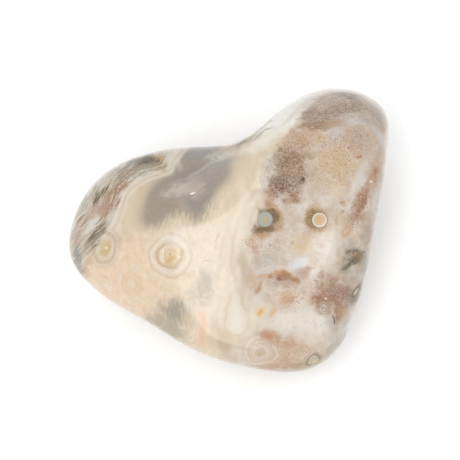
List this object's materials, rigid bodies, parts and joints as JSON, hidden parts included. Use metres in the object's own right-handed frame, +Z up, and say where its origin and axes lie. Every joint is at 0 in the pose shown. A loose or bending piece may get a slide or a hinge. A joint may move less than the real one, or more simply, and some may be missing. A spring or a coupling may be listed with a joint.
{
  "type": "tumbled ocean jasper",
  "caption": "Tumbled and polished pebble of ocean jasper, roughly heart-shaped, with cream, tan and grey orbs, bands and patches, lying on a small worn flat.",
  "frame": {"origin": "under the middle of the stone's box, on the plane of the worn flat that it rests on", "axes": "+X to the right along the stone's width, towards its pointed corner's side; +Y to the back; +Z up. The broad patterned face looks up and leans 16 degrees towards -Y"},
  "size_m": [0.0402, 0.0358, 0.0206],
  "materials": {
    "polished_jasper": "tumble-polished, glossy, opaque to slightly translucent"
  },
  "bodies": {
    "root": {"tumbled_stone": "polished_jasper"}
  },
  "joints": []
}
